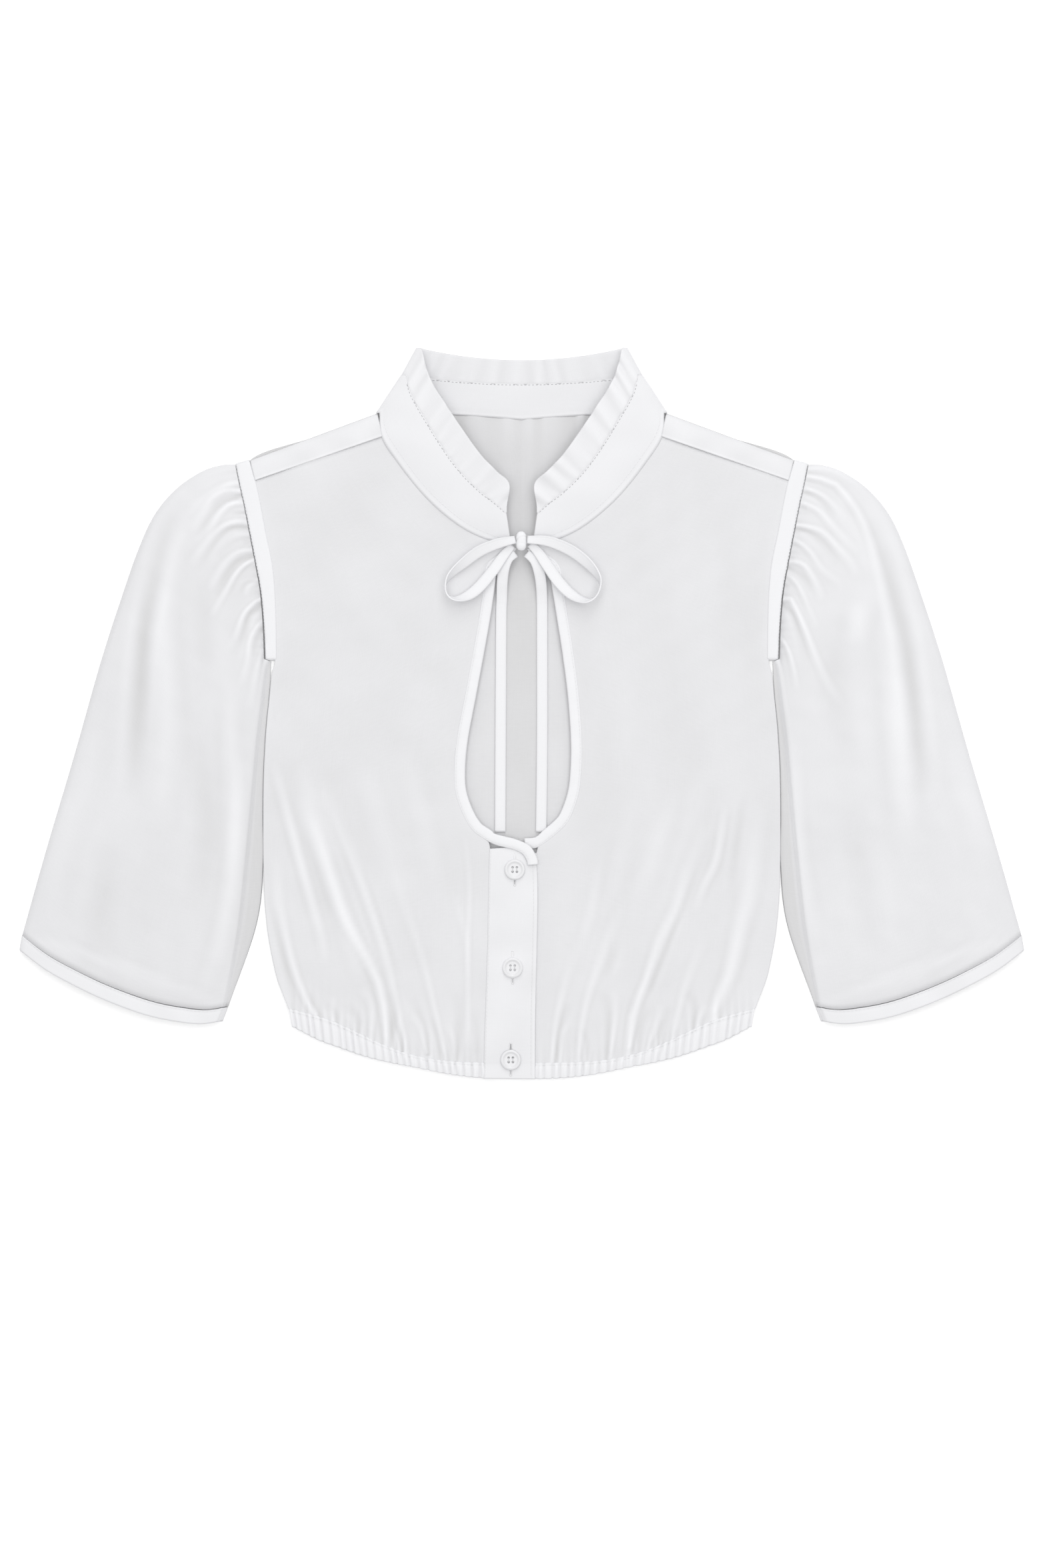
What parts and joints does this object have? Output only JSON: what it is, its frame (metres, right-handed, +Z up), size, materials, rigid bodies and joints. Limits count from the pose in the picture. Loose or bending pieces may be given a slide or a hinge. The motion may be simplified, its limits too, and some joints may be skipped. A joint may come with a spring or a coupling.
{
  "type": "dirndl blouse laid flat",
  "caption": "White sheer cotton dirndl blouse laid flat: puffed elbow sleeves, ruffled stand collar, keyhole with tied bow, buttoned placket and gathered hem.",
  "frame": {"origin": "on the surface the blouse lies on, under the middle of its outline", "axes": "+Z up, out of the front; +Y towards the collar; +X towards the wearer's left sleeve, right in a view from above"},
  "size_m": [0.7084, 0.515, 0.0163],
  "materials": {
    "sheer_voile": "white sheer cotton voile, one layer, fine plain weave",
    "double_voile": "white cotton voile in two or more layers, stitched",
    "button": "white moulded, soft gloss"
  },
  "bodies": {
    "root": {"front_right": "sheer_voile", "front_left": "sheer_voile", "back": "sheer_voile", "sleeve_right": "sheer_voile", "sleeve_left": "sheer_voile", "collar_ruffle": "sheer_voile", "collar_stand": "double_voile", "shoulder_band_right": "double_voile", "shoulder_band_left": "double_voile", "armhole_binding_right": "double_voile", "armhole_binding_left": "double_voile", "keyhole_binding_right": "double_voile", "keyhole_binding_left": "double_voile", "placket": "double_voile", "button_stand": "double_voile", "hem_casing_right": "double_voile", "hem_casing_left": "double_voile", "hem_casing_back": "double_voile", "sleeve_hem_right": "double_voile", "sleeve_hem_left": "double_voile", "bow_loop_right": "double_voile", "bow_loop_left": "double_voile", "tie_tail_right": "double_voile", "tie_tail_left": "double_voile", "tie_knot": "double_voile", "button_1": "button", "button_2": "button", "button_3": "button"}
  },
  "joints": []
}
